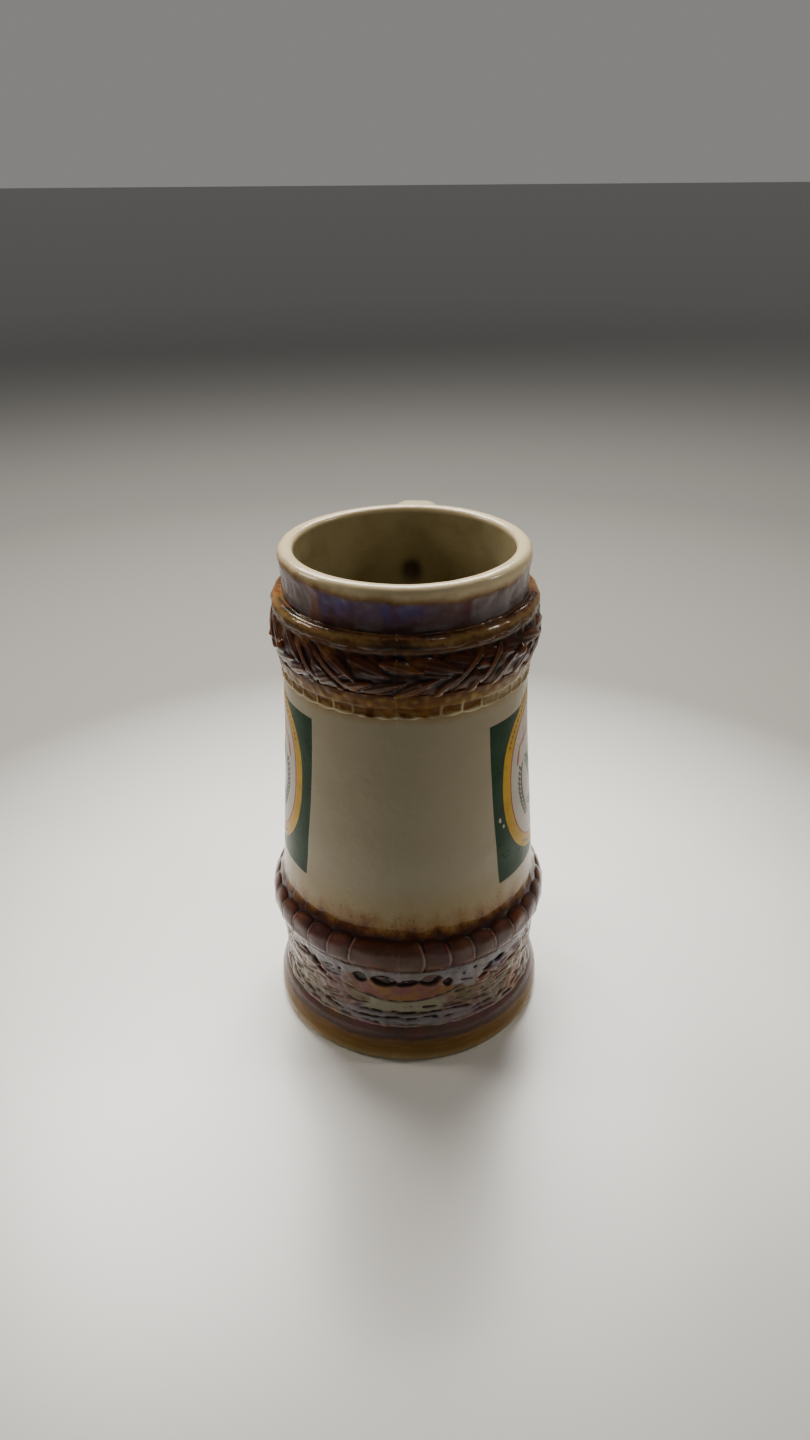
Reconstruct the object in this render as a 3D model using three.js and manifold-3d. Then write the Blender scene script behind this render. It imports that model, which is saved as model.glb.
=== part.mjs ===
// A lidless half-litre beer stein in glazed earthenware with moulded relief: a hollow cup, a loop handle,
// four relief bands round the cup and a transfer label on each side.
// Millimetres, +Z up. The origin is the centre of the flat base. The handle points along +Y, the front
// seam faces -Y, and the labels face +X and -X.
import * as THREE from "three";
import { mergeVertices } from "three/addons/utils/BufferGeometryUtils.js";
import Module from "manifold-3d";

const wasm = await Module();
wasm.setup();

// ---- Driving dimensions ------------------------------------------------------------------------------

const HEIGHT = 165;
const BASE_R = 43.2; // flat that the stein stands on
const FOOT_R = 45.8; // widest point of the rolled foot
const FOOT_TOP_Z = 11.2;
const WALL = 5;
const FLOOR_Z = 7;
const FLOOR_FILLET = 9;
const LIP_R = 38; // outside of the lip
const MOUTH_R = 33.2; // inside of the lip

const BARREL = { low: 54.2, high: 125.4, rLow: 42.6, rHigh: 38.2 };

const GAP = 0.3; // between pieces that touch
const COPIES = 36; // gadroon lobes, and dentil cells, round the cup

// Each band lies in a seat of the cup. A seat is a curve of [radius, height] points, from bottom to top.
const SEATS = {
  frieze: [[42.4, 11.6], [40.9, 19.5], [42.0, 27], [42.6, 35.8]],
  gadroon: [[42.9, 36.4], [43.8, 42], [43.4, 47.8], [42.0, 53.6]],
  dentil: [[38.1, 125.8], [38.4, 128.8], [38.8, 131.8]],
  wreath: [[39.1, 132.4], [40.1, 137.4], [40.4, 142], [39.9, 145.5], [39.1, 148]],
};

// The handle is cast hollow and opens into the cup at its upper end: here that is a blind dimple in the wall.
const HANDLE = { halfWidth: 8.9, halfDepth: 5.6, steps: 32, sides: 16 };
const DIMPLE = { radius: 3.6, height: 140.5, depth: 3.2 };
const LABEL = { width: 64.6, low: 62.8, high: 119, thickness: 0.4, columns: 12, rows: 5 };

const CUP_SEGMENTS = 56;

// ---- Materials ---------------------------------------------------------------------------------------

function glaze(colour, roughness) {
  return new THREE.MeshStandardMaterial({ color: colour, roughness, metalness: 0 });
}

const creamGlaze = glaze(0xcdbf9c, 0.22);
const brownGlaze = glaze(0x4a2416, 0.18);
const honeyGlaze = glaze(0x86602f, 0.2);
const lustreGlaze = glaze(0x6b5752, 0.18);
const labelInk = glaze(0x1f4a33, 0.3);

// ---- Helpers -----------------------------------------------------------------------------------------

function named(name, geometry, material) {
  const mesh = new THREE.Mesh(geometry, material);
  mesh.name = name;
  return mesh;
}

function curveThrough(points) {
  return new THREE.SplineCurve(points.map(([radius, height]) => new THREE.Vector2(radius, height)));
}

// The barrel flares towards its foot.
function barrelRadius(height) {
  const down = THREE.MathUtils.clamp((BARREL.high - height) / (BARREL.high - BARREL.low), 0, 1);
  return BARREL.rHigh + (BARREL.rLow - BARREL.rHigh) * Math.pow(down, 1.5);
}

function barrelPoints(count) {
  return Array.from({ length: count + 1 }, (_, i) => {
    const height = THREE.MathUtils.lerp(BARREL.low, BARREL.high, i / count);
    return new THREE.Vector2(barrelRadius(height), height);
  });
}

// LatheGeometry turns about Y, so the finished solid is stood up to turn about Z.
function turned(profile, segments) {
  return new THREE.LatheGeometry(profile, segments).rotateX(Math.PI / 2);
}

function toSolid(geometry) {
  const bare = geometry.index ? geometry.toNonIndexed() : geometry.clone();
  bare.deleteAttribute("normal");
  bare.deleteAttribute("uv");
  const merged = mergeVertices(bare, 1e-3);
  return new wasm.Manifold(
    new wasm.Mesh({
      numProp: 3,
      vertProperties: merged.attributes.position.array,
      triVerts: new Uint32Array(merged.index.array),
    }),
  );
}

function fromSolid(solid) {
  const { vertProperties, triVerts } = solid.getMesh();
  return new THREE.BufferGeometry()
    .setAttribute("position", new THREE.BufferAttribute(vertProperties, 3))
    .setIndex(new THREE.BufferAttribute(triVerts, 1));
}

// ---- Cup ---------------------------------------------------------------------------------------------

// The outside, from the centre of the base up to the lip.
function outsideProfile() {
  const path = new THREE.Path();
  path.moveTo(0, 0);
  path.lineTo(BASE_R, 0);
  path.bezierCurveTo(BASE_R + 1.8, 0, FOOT_R + 0.3, 1.4, FOOT_R, 4.2);
  path.quadraticCurveTo(FOOT_R - 0.3, 8.2, FOOT_R - 1.2, FOOT_TOP_Z);
  const foot = path.getPoints(3);
  const shoulder = new THREE.Path();
  shoulder.moveTo(40.5, 148.4);
  shoulder.bezierCurveTo(40.5, 150.6, 39.2, 152.4, 37.4, 152.8);
  shoulder.quadraticCurveTo(37.1, 157, LIP_R, 160.6);
  shoulder.bezierCurveTo(LIP_R + 0.3, 163.4, 37.4, HEIGHT, 35.5, HEIGHT);
  shoulder.bezierCurveTo(34, HEIGHT, MOUTH_R, 163.2, MOUTH_R, 161);
  return [
    ...foot,
    ...curveThrough(SEATS.frieze).getPoints(5),
    ...curveThrough(SEATS.gadroon).getPoints(4),
    ...barrelPoints(5),
    ...curveThrough(SEATS.dentil).getPoints(2),
    ...curveThrough(SEATS.wreath).getPoints(4),
    ...shoulder.getPoints(3),
  ];
}

// The inside, from the mouth down to the centre of the floor. It follows the outside, one wall in.
function insideProfile() {
  const side = BARREL.rLow - WALL;
  const path = new THREE.Path();
  path.moveTo(MOUTH_R, 160);
  path.quadraticCurveTo(MOUTH_R - 0.4, 140, BARREL.rHigh - WALL + 0.5, 120);
  path.bezierCurveTo(BARREL.rHigh - WALL + 1.5, 95, side, 70, side, 50);
  path.lineTo(side - 0.8, FLOOR_Z + FLOOR_FILLET);
  path.quadraticCurveTo(side - 1.2, FLOOR_Z, side - 0.8 - FLOOR_FILLET, FLOOR_Z);
  path.lineTo(0, FLOOR_Z);
  return path.getPoints(3);
}

function cupGeometry() {
  const whole = turned([...outsideProfile(), ...insideProfile()], CUP_SEGMENTS);
  const bit = new THREE.CapsuleGeometry(DIMPLE.radius, 12, 4, 16);
  const bottom = MOUTH_R + DIMPLE.depth;
  bit.translate(0, bottom - 6 - DIMPLE.radius, DIMPLE.height);
  return fromSolid(toSolid(whole).subtract(toSolid(bit)));
}

const cup = named("body", cupGeometry(), creamGlaze);

// ---- Relief bands ------------------------------------------------------------------------------------

// A closed ring on a seat of the cup. relief(angle, share) is its thickness at that angle and share of height.
function reliefRing(seatPoints, columns, rows, relief) {
  const seat = curveThrough(seatPoints);
  const loop = [];
  for (let i = 0; i <= rows; i++) loop.push({ share: i / rows, outer: false });
  for (let i = rows; i >= 0; i--) loop.push({ share: i / rows, outer: true });
  const positions = [];
  const index = [];
  for (let c = 0; c < columns; c++) {
    const angle = (c / columns) * 2 * Math.PI;
    for (const { share, outer } of loop) {
      const { x: seatRadius, y: height } = seat.getPoint(share);
      const radius = seatRadius + GAP + (outer ? relief(angle, share) : 0);
      positions.push(radius * Math.sin(angle), -radius * Math.cos(angle), height);
    }
    const next = (c + 1) % columns;
    for (let k = 0; k < loop.length; k++) {
      const up = (k + 1) % loop.length;
      const [a, b] = [c * loop.length + k, next * loop.length + k];
      const [d, e] = [c * loop.length + up, next * loop.length + up];
      index.push(a, d, b, b, d, e);
    }
  }
  return new THREE.BufferGeometry()
    .setAttribute("position", new THREE.Float32BufferAttribute(positions, 3))
    .setIndex(index);
}

// 0 at a band's edges and 1 across its middle.
function crown(share, power) {
  return Math.pow(Math.sin(Math.PI * THREE.MathUtils.clamp(share, 0, 1)), power);
}

const WREATH_RELIEF = 1.9; // the thickest leaf

// Two rows of laurel leaves lean against each other along the band.
function wreathRelief(angle, share) {
  const leaves = 24;
  const lean = 0.35 * Math.abs(share - 0.5) * 2;
  const leaf = Math.abs(Math.sin((leaves * angle) / 2 + lean * Math.PI));
  return WREATH_RELIEF - 0.9 + 0.5 * crown(share, 0.7) + 0.4 * leaf * crown(share, 0.5);
}

// Each cell is sunk between thin raised bars.
function dentilRelief(angle, share) {
  const bar = Math.round((angle / (2 * Math.PI)) * COPIES * 3) % 3 === 0;
  const rim = share < 0.1 || share > 0.6;
  return bar || rim ? 1.1 : 0.6;
}

// Rounded lobes stand side by side like a thick rope.
function gadroonRelief(angle, share) {
  const lobe = Math.abs(Math.sin((COPIES * angle) / 2));
  return 0.7 + crown(share, 0.6) * (0.5 + 0.7 * lobe);
}

// Rows of low cobbles, each row shifted by half a stone from the next.
function friezeRelief(angle, share) {
  const row = Math.floor(share * 4);
  const stone = Math.abs(Math.sin(12 * angle + (row % 2) * (Math.PI / 2)));
  return 1 + 0.6 * stone * crown(share, 0.5);
}

const wreathBand = named("wreath_band", reliefRing(SEATS.wreath, 72, 4, wreathRelief), brownGlaze);
const dentilBand = named("dentil_band", reliefRing(SEATS.dentil, 3 * COPIES, 3, dentilRelief), honeyGlaze);
const gadroonBand = named("gadroon_band", reliefRing(SEATS.gadroon, 4 * COPIES, 4, gadroonRelief), brownGlaze);
const friezeBand = named("frieze_band", reliefRing(SEATS.frieze, 72, 5, friezeRelief), lustreGlaze);

// ---- Handle ------------------------------------------------------------------------------------------

// An ear-shaped loop that springs from the wreath and comes back low on the barrel.
function handlePath() {
  return new THREE.CatmullRomCurve3(
    [[34, 137], [42, 141.5], [51, 148.4], [61, 152.6], [70.5, 149.5], [77, 140], [79.5, 126], [78, 108], [71, 88], [58, 72.5], [45, 66.5], [34, 65]]
      .map(([y, z]) => new THREE.Vector3(0, y, z)),
    false,
    "catmullrom",
    0.5,
  );
}

// A broad oval with a shallow dish along its inner side, where the fingers lie.
function handleSection() {
  const points = [];
  for (let i = 0; i < HANDLE.sides; i++) {
    const turn = (i / HANDLE.sides) * 2 * Math.PI;
    points.push(new THREE.Vector2(HANDLE.halfWidth * Math.cos(turn), HANDLE.halfDepth * Math.sin(turn)));
  }
  return new THREE.Shape(points);
}

// How far the handle's end stays from the cup: over the upper bands it lies on their relief.
function standoff(height) {
  const [low, high] = [SEATS.dentil[0][1], SEATS.wreath.at(-1)[1]];
  return height > low - 0.1 && height < high + 0.1 ? GAP + WREATH_RELIEF + GAP : GAP;
}

// The cup filled solid and grown by that distance, which cuts the handle's ends to the cup's own curve.
function cupPlug() {
  const outside = outsideProfile().filter((point) => point.y > 1 && point.y < HEIGHT - 1 && point.x > LIP_R - 2);
  const grown = outside.map((point) => new THREE.Vector2(point.x + standoff(point.y), point.y));
  return turned([new THREE.Vector2(0, 1), ...grown, new THREE.Vector2(0, HEIGHT - 1)], CUP_SEGMENTS);
}

function handleGeometry() {
  const loop = new THREE.ExtrudeGeometry(handleSection(), { steps: HANDLE.steps, extrudePath: handlePath() });
  return fromSolid(toSolid(loop).subtract(toSolid(cupPlug())));
}

const handle = named("handle", handleGeometry(), creamGlaze);

// ---- Labels ------------------------------------------------------------------------------------------

// A thin rectangle wrapped round the barrel, centred on the direction facing.
function labelGeometry(facing) {
  const { width, low, high, thickness, columns, rows } = LABEL;
  const plate = new THREE.BoxGeometry(thickness, width, high - low, 1, columns, rows);
  const position = plate.getAttribute("position");
  for (let i = 0; i < position.count; i++) {
    const height = position.getZ(i) + (low + high) / 2;
    const surface = barrelRadius(height) + GAP;
    const angle = facing + position.getY(i) / surface;
    const radius = surface + thickness / 2 + position.getX(i);
    position.setXYZ(i, radius * Math.cos(angle), radius * Math.sin(angle), height);
  }
  return plate;
}

const leftLabel = named("left_label", labelGeometry(Math.PI), labelInk);
const rightLabel = named("right_label", labelGeometry(0), labelInk);

// ---- Assembly ----------------------------------------------------------------------------------------

const stein = new THREE.Group();
stein.add(cup, handle, wreathBand, dentilBand, gadroonBand, friezeBand, leftLabel, rightLabel);

export default stein;
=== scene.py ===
"""Beer stein: glazed surfaces, relief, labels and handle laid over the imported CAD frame.

Lengths in the helpers are millimetres and become metres when a mesh is made. Angles round the cup run
from the front seam (-Y) towards +X. The handle is at +Y and the labels face +X and -X.
"""

import math

import bpy
import numpy as np
from mathutils import Matrix, Vector


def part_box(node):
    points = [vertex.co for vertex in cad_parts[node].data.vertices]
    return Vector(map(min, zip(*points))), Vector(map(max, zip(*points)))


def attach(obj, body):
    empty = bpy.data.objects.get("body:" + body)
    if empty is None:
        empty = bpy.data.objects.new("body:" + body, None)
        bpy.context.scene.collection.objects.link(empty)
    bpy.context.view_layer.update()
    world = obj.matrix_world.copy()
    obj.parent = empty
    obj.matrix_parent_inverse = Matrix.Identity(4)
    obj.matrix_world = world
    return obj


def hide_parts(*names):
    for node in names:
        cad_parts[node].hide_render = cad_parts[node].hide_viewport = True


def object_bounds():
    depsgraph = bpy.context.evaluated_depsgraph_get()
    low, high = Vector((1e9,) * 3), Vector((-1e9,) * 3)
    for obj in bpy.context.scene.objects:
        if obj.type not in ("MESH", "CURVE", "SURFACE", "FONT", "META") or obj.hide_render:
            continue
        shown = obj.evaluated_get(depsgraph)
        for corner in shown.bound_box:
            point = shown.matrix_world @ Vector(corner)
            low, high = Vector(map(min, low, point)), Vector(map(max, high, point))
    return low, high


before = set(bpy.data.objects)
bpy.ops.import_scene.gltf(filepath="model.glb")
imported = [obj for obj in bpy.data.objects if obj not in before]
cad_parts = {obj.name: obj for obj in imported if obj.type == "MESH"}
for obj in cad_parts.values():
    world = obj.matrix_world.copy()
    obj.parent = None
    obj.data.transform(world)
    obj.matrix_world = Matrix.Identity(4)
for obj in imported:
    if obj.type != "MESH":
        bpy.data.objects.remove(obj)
cad_low, cad_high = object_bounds()

MM = 0.001
TAU = 2 * math.pi
HEIGHT = cad_high.z / MM
MEAN_R = 42  # turns angles into millimetres round the cup


# ---- Numbers ----


def ease(x):
    """0 below 0, 1 above 1, smooth between."""
    x = np.clip(x, 0, 1)
    return x * x * (3 - 2 * x)


def span(x, low, high, rise, fall):
    """1 between low and high, easing in over rise above low and out over fall below high."""
    return ease((x - low) / rise) * ease((high - x) / fall)


def peak(x, width):
    return np.exp(-((x / width) ** 2))


def spline(points, step):
    """A Catmull-Rom curve through the points, with a point about every step."""
    p = np.asarray(points, float)
    p = np.vstack([2 * p[0] - p[1], p, 2 * p[-1] - p[-2]])
    spans = []
    for a, b, c, d in zip(p, p[1:], p[2:], p[3:]):
        count = max(2, math.ceil(np.linalg.norm(c - b) / step))
        t = np.linspace(0, 1, count, endpoint=False)[:, None]
        bent = (2 * a - 5 * b + 4 * c - d) * t**2 + (3 * b - a - 3 * c + d) * t**3
        spans.append(0.5 * (2 * b + (c - a) * t + bent))
    return np.vstack([*spans, p[-2:-1]])


def run_along(line):
    """The distance along a line of points, from its start to each point."""
    return np.concatenate([[0], np.cumsum(np.linalg.norm(np.diff(line, axis=0), axis=1))])


def blur(field, around, up):
    """Gaussian blur, in samples, of a field whose first axis runs round the cup."""
    pad = min(int(4 * up) + 1, field.shape[1] - 1)
    padded = np.pad(field, ((0, 0), (pad, pad)), mode="reflect")
    u = np.fft.fftfreq(padded.shape[0])[:, None]
    v = np.fft.rfftfreq(padded.shape[1])[None, :]
    kernel = np.exp(-2 * math.pi**2 * ((u * around) ** 2 + (v * up) ** 2))
    return np.fft.irfft2(np.fft.rfft2(padded) * kernel, s=padded.shape)[:, pad : pad + field.shape[1]]


def ripple(angle, height, wavelength, seed, stretch=1.0, waves=18):
    """Random ripples of unit spread that join up round the cup. stretch draws them out upwards."""
    rng = np.random.default_rng(seed)
    total = 0
    for _ in range(waves):
        k = TAU / (wavelength * rng.uniform(0.7, 1.5))
        tilt = rng.uniform(0, math.pi)
        around = round(MEAN_R * k * math.cos(tilt))
        total = total + np.cos(around * angle + k * math.sin(tilt) / stretch * height + rng.uniform(0, TAU))
    return total / math.sqrt(waves / 2)


# ---- The cup's wall ----

# Radius and height of the outside from the axis up to the bead, then over the lip and down the inside.
FOOT = [
    (0, 0), (30, 0), (43.2, 0), (44.7, 0.3), (45.55, 1.5), (45.85, 3.4), (45.8, 5.6), (45.5, 7.9),
    (45.1, 9.3),
]
ROLL = [(44.75, 10.1), (44.5, 11.0), (44.15, 11.8), (43.6, 12.6), (43.0, 13.3), (42.55, 13.8)]
WALL = [
    (42.4, 14.0), (41.6, 16.9), (41.2, 19.5), (41.7, 22.6), (42.3, 28), (42.7, 33), (43.2, 37), (43.6, 41),
    (43.6, 44.5), (43.3, 48), (42.7, 52), (42.3, 56), (41.9, 61), (41.4, 67), (40.7, 77), (39.8, 88.7),
    (39.1, 100), (38.55, 111), (38.25, 120), (38.2, 126), (38.4, 129), (38.8, 132), (39.5, 135.5),
    (40.0, 139), (40.1, 141.5), (39.9, 144), (39.5, 146.3),
]
BEAD = [
    (39.8, 146.8), (40.45, 147.4), (40.7, 148.6), (40.4, 149.9), (39.7, 150.9), (38.8, 151.3), (37.9, 151.1),
    (37.4, 151.0),
]
NECK = [
    (37.2, 151.5), (37.15, 153.0), (37.2, 155.0), (37.35, 157.5), (37.7, 160), (38.0, 161.8), (38.0, 163.1),
    (37.5, 164.2), (36.6, 164.85), (35.4, 165.0), (34.3, 164.85), (33.6, 164.3), (33.3, 163.3), (33.2, 161.8),
    (33.05, 158), (32.9, 150), (33.0, 140), (33.7, 120), (35.0, 95), (36.6, 70), (37.4, 50), (37.2, 30),
    (36.9, 18), (36.4, 13), (34.8, 9.4), (31.8, 7.6), (27.7, 7.0), (15, 7.0), (0, 7.0),
]
WALL_LINE = spline(WALL, 0.8)
BARREL_LOW, BARREL_HIGH = 54.0, 125.6
BEAD_LOW = 146.3
INSIDE_R = 33  # of the neck


def wall(height):
    return np.interp(height, WALL_LINE[:, 1], WALL_LINE[:, 0])


def hand_made(angle, height):
    """How far the plain wall strays from a true turning."""
    return 0.07 * ripple(angle, height, 55, 3) + 0.02 * ripple(angle, height, 16, 4)


def seam(angle, height):
    """The mould's parting line, front and back. The barrel has been wiped clean of it."""
    off = np.minimum(np.abs(angle), math.pi - np.abs(angle)) * MEAN_R
    plain = span(height, BARREL_LOW + 3, BARREL_HIGH - 1, 3, 2)
    return 0.11 * peak(off, 0.34) * (1 - plain)


# ---- Meshes ----


def on_cup(radius, angle, height):
    """Points in metres from radius, angle and height, stacked on a new last axis."""
    radius, angle, height = np.broadcast_arrays(radius, angle, height)
    return np.stack([radius * np.sin(angle), -radius * np.cos(angle), height], axis=-1) * MM


def grid_faces(columns, rows, wrap_columns, wrap_rows):
    """Quads of a grid whose point (column, row) is number column * rows + row."""
    c = np.arange(columns if wrap_columns else columns - 1)[:, None]
    r = np.arange(rows if wrap_rows else rows - 1)[None, :]
    c2, r2 = (c + 1) % columns, (r + 1) % rows
    quad = np.stack([c * rows + r, c2 * rows + r, c2 * rows + r2, c * rows + r2], axis=-1)
    return quad.reshape(-1, 4).tolist()


def link(name, data):
    made = bpy.data.objects.new(name, data)
    bpy.context.scene.collection.objects.link(made)
    return made


def new_piece(name, points, faces, materials, node, attributes=None, face_material=None, crisp=False):
    """A smooth mesh piece that rides on the stein in place of its CAD node."""
    mesh = bpy.data.meshes.new(name)
    mesh.from_pydata(np.asarray(points).reshape(-1, 3).tolist(), [], faces)
    for material in materials:
        mesh.materials.append(material)
    mesh.polygons.foreach_set("use_smooth", [True] * len(mesh.polygons))
    if face_material is not None:
        mesh.polygons.foreach_set("material_index", face_material)
    for key, values in (attributes or {}).items():
        layer = mesh.attributes.new(key, "FLOAT", "POINT")
        layer.data.foreach_set("value", np.asarray(values, np.float32).ravel())
    mesh.validate()
    if crisp:
        mesh.set_sharp_from_angle(angle=math.radians(50))
    piece = link(name, mesh)
    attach(piece, "root")
    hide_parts(node)
    return piece


# ---- Materials ----


class Shader:
    """A node material, built one call at a time."""

    def __init__(self, name):
        self.material = bpy.data.materials.new(name)
        self.material.use_nodes = True
        self.tree = self.material.node_tree
        self.tree.nodes.clear()
        self.place = self.node("TexCoord").outputs["Object"]
        self.colour = None

    def node(self, kind, inputs=None, **settings):
        """A new node. inputs maps a socket's name or number to a value or to another node's output."""
        made = self.tree.nodes.new("ShaderNode" + kind)
        for key, value in settings.items():
            setattr(made, key, value)
        for key, value in (inputs or {}).items():
            socket = made.inputs[key]
            if isinstance(value, bpy.types.NodeSocket):
                self.tree.links.new(value, socket)
            else:
                socket.default_value = (*value, 1) if socket.type == "RGBA" else value
        return made

    def math(self, operation, a, b):
        return self.node("Math", {0: a, 1: b}, operation=operation).outputs[0]

    def times(self, first, *others):
        for other in others:
            first = self.math("MULTIPLY", first, other)
        return first

    def plus(self, first, *others):
        for other in others:
            first = self.math("ADD", first, other)
        return first

    def less(self, a, b):
        return self.math("SUBTRACT", a, b)

    def mix(self, share, a, b, blend="MIX"):
        return self.node("Mix", {0: share, 6: a, 7: b}, data_type="RGBA", blend_type=blend).outputs[2]

    def cover(self, share, colour):
        """Lays a colour, or another node's, over the surface's colour so far."""
        self.colour = self.mix(share, self.colour, colour)

    def between(self, value, low, high):
        """value mapped smoothly from low..high to 0..1."""
        inputs = {"Value": value, "From Min": low, "From Max": high}
        return self.node("MapRange", inputs, interpolation_type="SMOOTHSTEP").outputs["Result"]

    def noise(self, size, seed, detail=3.0, stretch=1.0, roughness=0.5):
        """Noise from 0 to 1 with features of about size mm. stretch draws them out upwards."""
        start = (seed * 0.37, seed * 0.71, seed * 0.13)
        inputs = {"Vector": self.place, "Location": start, "Scale": (1, 1, 1 / stretch)}
        place = self.node("Mapping", inputs).outputs[0]
        inputs = {"Vector": place, "Scale": 1 / (size * MM), "Detail": detail, "Roughness": roughness}
        return self.node("TexNoise", inputs).outputs["Fac"]

    def sway(self, spread, *noise):
        """Noise that runs about spread / 2 either side of 0."""
        return self.times(self.less(self.noise(*noise), 0.5), spread)

    def attribute(self, name):
        return self.node("Attribute", attribute_name=name).outputs["Fac"]

    def ramp(self, value, stops):
        made = self.node("ValToRGB", {0: value})
        elements = made.color_ramp.elements
        while len(elements) < len(stops):
            elements.new(0.5)
        for element, (place, colour) in zip(elements, stops):
            element.position = place
            element.color = (*colour, 1)
        return made.outputs[0]

    def bands(self, height, table, column=1):
        """A ramp over a height in mm. A table row starts with a height, then holds colours or a grey."""
        stops = []
        for row in table:
            value = row[column]
            stops.append((row[0] / HEIGHT, value if isinstance(value, tuple) else (value,) * 3))
        return self.ramp(self.times(height, 1 / HEIGHT), stops)

    def finish(self, colour, roughness, bumps=(), coat=0.0, specular=0.5):
        """Ends in a Principled surface. bumps holds (height socket, depth in mm) pairs."""
        relief = {}
        for height, depth in bumps:
            bump = self.node("Bump", {**relief, "Distance": depth * MM, "Height": height})
            relief = {"Normal": bump.outputs[0]}
        inputs = {"Base Color": colour, "Roughness": roughness, "Coat Weight": coat, "Coat Roughness": 0.06,
                  "IOR": 1.55, "Specular IOR Level": specular, **relief}
        self.node("OutputMaterial", {0: self.node("BsdfPrincipled", inputs).outputs[0]})
        return self.material


# The barrel's cream is darker than the lip's: partly painted shade for the barrel's shaded front.
CREAM = (0.355, 0.304, 0.198)
LIP_CREAM = (0.62, 0.505, 0.30)

# Glaze colours up the outside: height, plain surface, where glaze pools, where it thins on a crest.
GLAZES = [
    (0.0, (0.54, 0.46, 0.28), (0.36, 0.27, 0.13), (0.6, 0.52, 0.33)),
    (2.4, (0.36, 0.25, 0.105), (0.24, 0.13, 0.035), (0.5, 0.38, 0.17)),
    (4.4, (0.205, 0.112, 0.03), (0.14, 0.053, 0.008), (0.4, 0.24, 0.06)),
    (8.4, (0.145, 0.066, 0.017), (0.08, 0.026, 0.005), (0.34, 0.17, 0.04)),
    (9.6, (0.045, 0.016, 0.009), (0.03, 0.008, 0.005), (0.12, 0.05, 0.025)),
    (10.6, (0.085, 0.042, 0.036), (0.03, 0.012, 0.01), (0.2, 0.13, 0.12)),
    (13.4, (0.15, 0.112, 0.112), (0.02, 0.013, 0.013), (0.28, 0.235, 0.24)),
    (23.0, (0.165, 0.124, 0.088), (0.018, 0.01, 0.007), (0.29, 0.24, 0.185)),
    (28.0, (0.165, 0.102, 0.064), (0.02, 0.009, 0.006), (0.28, 0.21, 0.16)),
    (32.0, (0.145, 0.104, 0.096), (0.012, 0.007, 0.007), (0.28, 0.23, 0.225)),
    (35.6, (0.125, 0.088, 0.082), (0.014, 0.007, 0.006), (0.27, 0.22, 0.215)),
    (37.2, (0.082, 0.042, 0.033), (0.02, 0.008, 0.006), (0.2, 0.13, 0.105)),
    (44.0, (0.076, 0.032, 0.022), (0.022, 0.007, 0.004), (0.22, 0.13, 0.095)),
    (48.6, (0.072, 0.024, 0.013), (0.018, 0.005, 0.003), (0.21, 0.11, 0.06)),
    (49.8, (0.046, 0.01, 0.003), (0.016, 0.003, 0.001), (0.2, 0.09, 0.02)),
    (51.3, (0.06, 0.014, 0.003), (0.022, 0.005, 0.002), (0.25, 0.11, 0.03)),
    (52.7, (0.165, 0.06, 0.007), (0.07, 0.022, 0.004), (0.34, 0.18, 0.04)),
    (54.5, (0.27, 0.15, 0.038), (0.16, 0.08, 0.015), (0.42, 0.3, 0.11)),
    (59.4, (0.34, 0.262, 0.128), (0.26, 0.175, 0.07), CREAM),
    (69.0, CREAM, (0.38, 0.3, 0.165), CREAM),
    (122.5, CREAM, (0.34, 0.24, 0.11), CREAM),
    (125.6, (0.31, 0.22, 0.095), (0.17, 0.078, 0.013), (0.6, 0.52, 0.33)),
    (128.6, (0.235, 0.13, 0.028), (0.125, 0.048, 0.005), (0.48, 0.37, 0.16)),
    (131.2, (0.15, 0.064, 0.009), (0.055, 0.02, 0.003), (0.34, 0.2, 0.035)),
    (133.0, (0.085, 0.026, 0.005), (0.014, 0.004, 0.002), (0.22, 0.105, 0.025)),
    (138.0, (0.044, 0.01, 0.004), (0.006, 0.002, 0.001), (0.12, 0.04, 0.015)),
    (144.4, (0.05, 0.012, 0.004), (0.006, 0.002, 0.001), (0.175, 0.072, 0.024)),
    (146.6, (0.075, 0.024, 0.005), (0.016, 0.005, 0.002), (0.26, 0.15, 0.045)),
    (149.0, (0.105, 0.046, 0.008), (0.02, 0.008, 0.003), (0.36, 0.25, 0.09)),
    (150.4, (0.29, 0.185, 0.06), (0.09, 0.045, 0.012), (0.56, 0.46, 0.27)),
    (151.6, (0.062, 0.023, 0.016), (0.012, 0.006, 0.005), (0.18, 0.13, 0.09)),
    (159.6, (0.105, 0.036, 0.042), (0.015, 0.007, 0.006), (0.18, 0.1, 0.05)),
]
LIP = [
    (161.0, (0.14, 0.058, 0.014)), (161.8, (0.30, 0.18, 0.065)),
    (162.7, (0.50, 0.395, 0.225)), (163.6, LIP_CREAM),
]
# How far the colour bands stray in height, where the dark glazes change hue and how thick the specks lie,
# then the changes of hue as factors, by noise.
FADE = [(0, 0.35), (46, 0.4), (54, 1), (66, 1), (80, 0.5), (140, 0.5), (147, 0.85), (153, 0.3)]
ZONE = [
    (0, 0), (9, 0), (12, 1), (49, 1), (53, 0), (133, 0), (137, 0.6), (146, 0.6), (148.5, 0.15), (151.8, 1),
    (160, 1), (161, 0),
]
SPECKS = [(46, 0.2), (53, 0.9), (60, 0.62), (68, 0.42), (80, 0.30)]
HUES = [
    (0.30, (1.5, 0.95, 0.55)), (0.42, (0.9, 0.95, 0.7)), (0.55, (1.15, 0.8, 0.8)), (0.68, (0.8, 0.8, 1.15)),
]


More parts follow.
